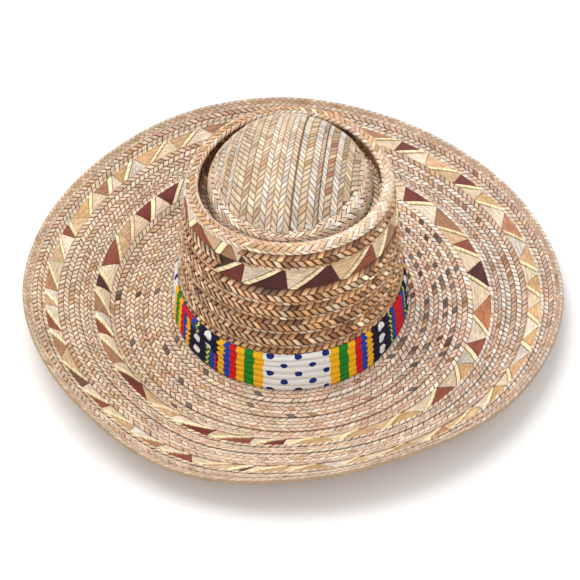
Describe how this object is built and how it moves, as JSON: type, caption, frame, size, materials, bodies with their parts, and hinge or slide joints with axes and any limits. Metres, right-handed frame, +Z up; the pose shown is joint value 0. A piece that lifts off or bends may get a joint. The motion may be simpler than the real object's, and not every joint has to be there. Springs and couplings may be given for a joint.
{
  "type": "straw hat",
  "caption": "Wide straw hat sewn from flat plaited braid: curled brim, tall crown with a ridge round a domed tip, decorative braid rounds and a pleated cloth band.",
  "frame": {"origin": "on the surface the hat rests on, under the middle of the brim's outline", "axes": "+Z up through the crown, +Y towards the far end of the hat, -Y the near end that the picture shows, +X to the picture's right"},
  "size_m": [0.4072, 0.431, 0.1548],
  "materials": {
    "brim_straw": "plaited natural straw, matt",
    "crown_straw": "plaited natural straw, matt",
    "insert_straw": "folded dyed and natural leaf, matt",
    "tip_straw": "plaited pale straw, matt",
    "band_cloth": "pleated printed cotton with stripes and dots"
  },
  "bodies": {
    "root": {"brim_inner_rows": "brim_straw", "brim_inner_insert": "insert_straw", "brim_middle_rows": "brim_straw", "brim_outer_insert": "insert_straw", "brim_outer_row": "brim_straw", "brim_edge": "brim_straw", "crown_lower_rows": "crown_straw", "crown_insert": "insert_straw", "crown_upper_row": "crown_straw", "crown_ridge": "crown_straw", "tip_rows": "crown_straw", "tip_strip_1": "tip_straw", "tip_strip_2": "tip_straw", "tip_strip_3": "tip_straw", "tip_strip_4": "tip_straw", "tip_strip_5": "tip_straw", "tip_strip_6": "tip_straw", "hat_band": "band_cloth"}
  },
  "joints": []
}
